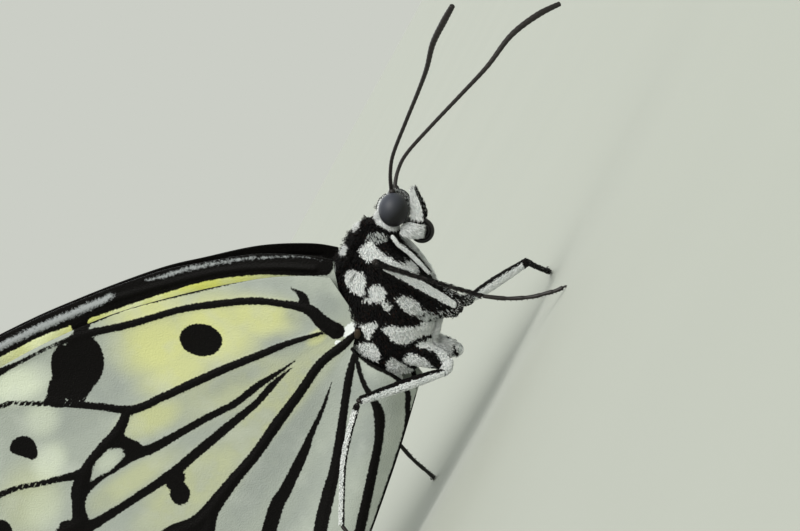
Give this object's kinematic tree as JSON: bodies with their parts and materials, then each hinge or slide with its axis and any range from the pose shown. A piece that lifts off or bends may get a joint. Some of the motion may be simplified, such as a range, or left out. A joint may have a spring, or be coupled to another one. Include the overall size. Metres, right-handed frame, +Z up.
{
  "type": "butterfly",
  "caption": "Life-size still model of a large white tree-nymph butterfly with black veins and spots, standing at rest with its wings closed over its back.",
  "frame": {"origin": "on the floor, below the middle of the model's bounding box", "axes": "+X is the way the head points, +Z is up, +Y is the insect's left"},
  "size_m": [0.0858, 0.0328, 0.053],
  "materials": {
    "body_scales": "black velvety scales and hairs with white tufts",
    "abdomen_scales": "white and grey-black scales",
    "eye": "glossy dark faceted eye",
    "feeler": "satin black horn",
    "palp_hair": "white hairs with a black front edge",
    "leg_scales": "white scales on black horn",
    "leg_horn": "dark red-black satin horn",
    "wing": "pale cream scales with black veins and spots",
    "tongue_horn": "smooth black horn"
  },
  "bodies": {
    "root": {"abdomen_1": "abdomen_scales", "abdomen_2": "abdomen_scales", "abdomen_3": "abdomen_scales", "abdomen_4": "abdomen_scales", "eye_left": "eye", "eye_right": "eye", "feeler_left": "feeler", "feeler_right": "feeler", "foreleg_left": "leg_scales", "foreleg_right": "leg_scales", "forewing_left": "wing", "forewing_right": "wing", "head": "body_scales", "hind_coxa_left": "body_scales", "hind_coxa_right": "body_scales", "hind_femur_left": "leg_scales", "hind_femur_right": "leg_scales", "hind_tarsus_left": "leg_horn", "hind_tarsus_right": "leg_horn", "hind_tibia_left": "leg_horn", "hind_tibia_right": "leg_horn", "hindwing_left": "wing", "hindwing_right": "wing", "mid_coxa_left": "body_scales", "mid_coxa_right": "body_scales", "mid_femur_left": "leg_scales", "mid_femur_right": "leg_scales", "mid_tarsus_left": "leg_horn", "mid_tarsus_right": "leg_horn", "mid_tibia_left": "leg_horn", "mid_tibia_right": "leg_horn", "palp_left": "palp_hair", "palp_right": "palp_hair", "prothorax": "body_scales", "thorax": "body_scales", "tongue": "tongue_horn"}
  },
  "joints": []
}
